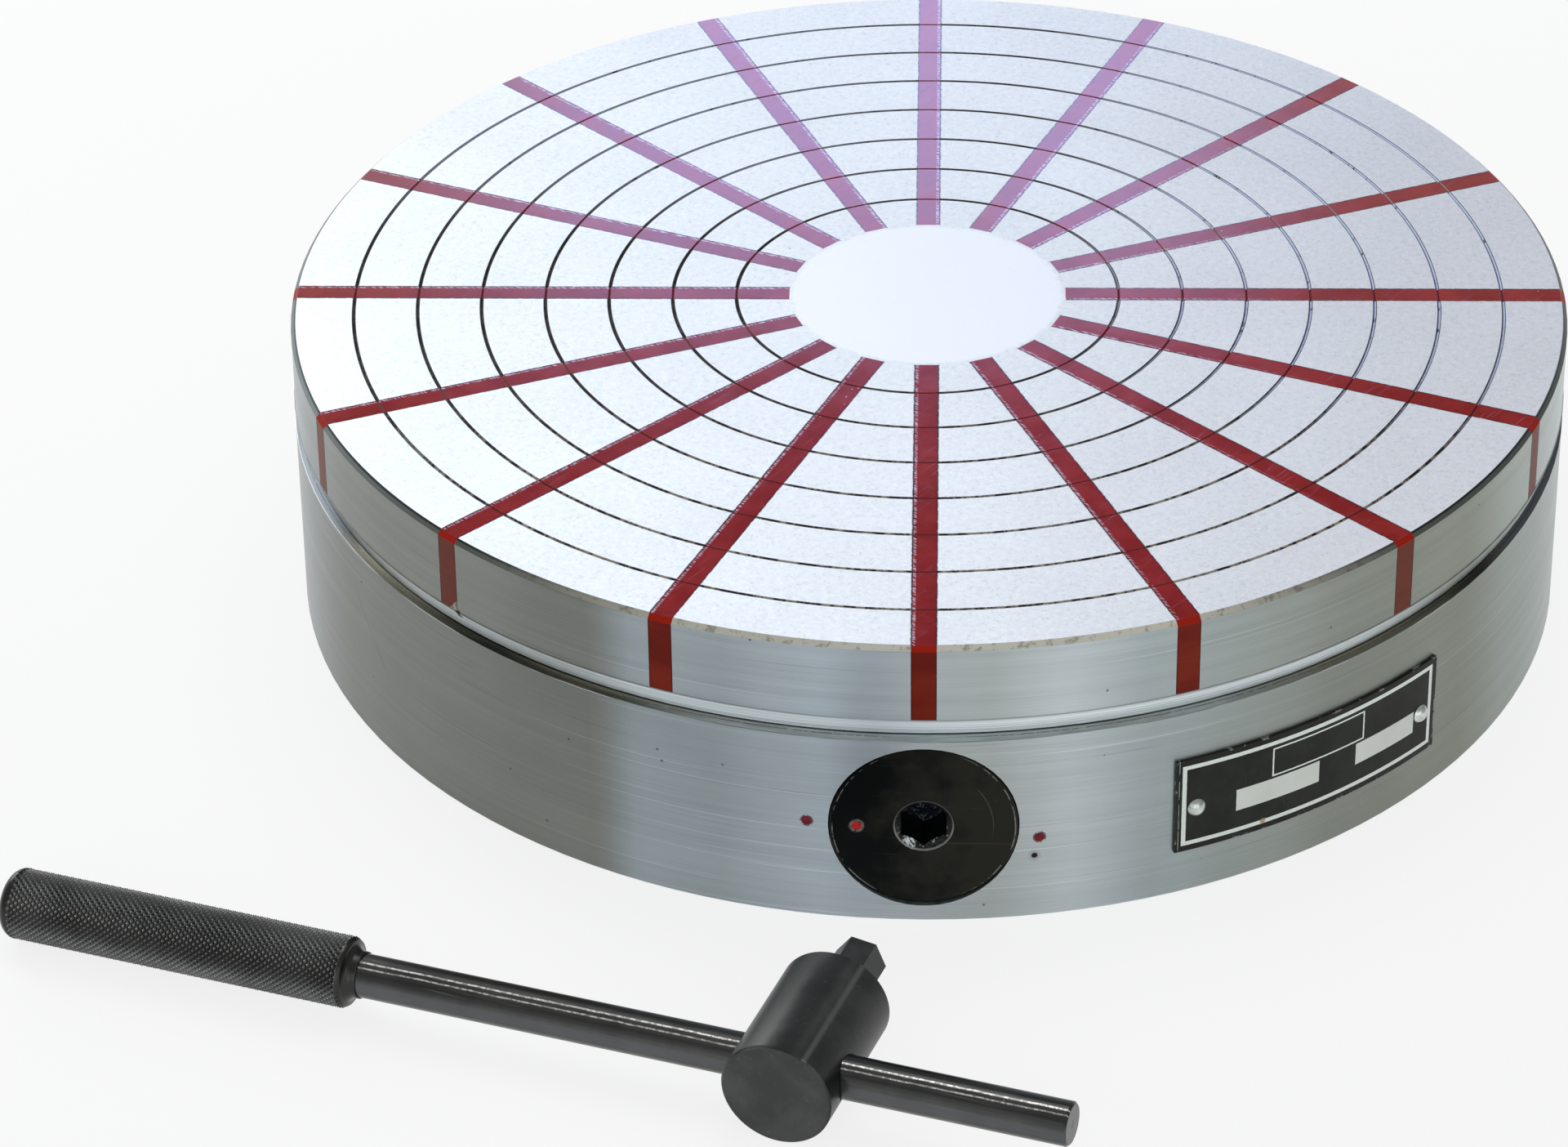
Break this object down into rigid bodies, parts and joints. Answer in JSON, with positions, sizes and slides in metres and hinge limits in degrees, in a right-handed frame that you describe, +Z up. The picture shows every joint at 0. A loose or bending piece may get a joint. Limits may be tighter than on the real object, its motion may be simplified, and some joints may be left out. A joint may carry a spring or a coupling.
{
  "type": "magnetic chuck",
  "caption": "Round permanent magnetic chuck with radial poles, switched by a key turned in its side, with its hexagon key",
  "frame": {"origin": "on the chuck's axis in the plane of its underside, the middle of the circle of table holes", "axes": "+Z up along the chuck's axis towards the work face, -Y out of the key socket, +X to the right seen from the key's side"},
  "size_m": [0.353, 0.3935, 0.0726],
  "materials": {
    "turned_steel": "fine turned steel with streaks round the wall",
    "ground_steel": "ground steel face, turned rim",
    "red_resin": "deep red cast resin, ground flush",
    "black_steel": "black oxide steel, satin",
    "hard_steel": "hardened and ground steel",
    "pole_iron": "bare mild steel",
    "magnet": "dark ceramic magnet",
    "bronze": "turned bronze",
    "seal_rubber": "matt black rubber",
    "red_paint": "red paint",
    "plate_black": "black anodised sheet with a bare border line",
    "rivet_metal": "bright domed rivet"
  },
  "bodies": {
    "chuck": {"base": "turned_steel", "pole_plate": "ground_steel", "pole_separators": "red_resin", "plate_screws": "black_steel", "plate_dowels": "hard_steel", "joint_seal": "seal_rubber", "centre_post": "hard_steel", "centre_screw": "black_steel", "thrust_washer": "bronze", "actuator_bush": "bronze", "stop_screw": "black_steel", "index_dots": "red_paint", "nameplate": "plate_black", "nameplate_rivets": "rivet_metal"},
    "actuator": {"actuator_shaft": "black_steel", "actuator_seal": "seal_rubber", "actuator_dot": "red_paint", "eccentric_pin": "hard_steel", "pin_clip": "hard_steel"},
    "roller": {"drive_roller": "hard_steel"},
    "rotor": {"rotor_plate": "pole_iron", "rotor_core": "bronze", "rotor_bush": "bronze", "rotor_poles": "pole_iron", "rotor_magnets": "magnet", "rotor_band": "bronze", "rotor_screws": "black_steel", "drive_block": "hard_steel", "drive_block_screws": "black_steel"},
    "key": {"key_head": "black_steel", "key_bar": "black_steel", "key_grip": "black_steel"}
  },
  "joints": [
    {"name": "rotor_turn", "type": "hinge", "parent": "chuck", "child": "rotor", "pos_m": [0, 0, 0], "axis": [0, 0, 1], "range_deg": [0, 11.25]},
    {"name": "actuator_turn", "type": "hinge", "parent": "chuck", "child": "actuator", "pos_m": [0, -0.1492, 0.02525], "axis": [0, 1, 0], "range_deg": [0, 180]},
    {"name": "roller_spin", "type": "hinge", "parent": "actuator", "child": "roller", "pos_m": [-0.01044, -0.106, 0.02525], "axis": [0, 1, 0], "continuous": true},
    {"name": "key_lift", "type": "slide", "parent": "chuck", "child": "key", "axis": [0, 0, 1], "range_m": [0, 0.12]}
  ],
  "couplings": [
    {"joint": "actuator_turn", "follows": "rotor_turn", "ratio": 16}
  ]
}
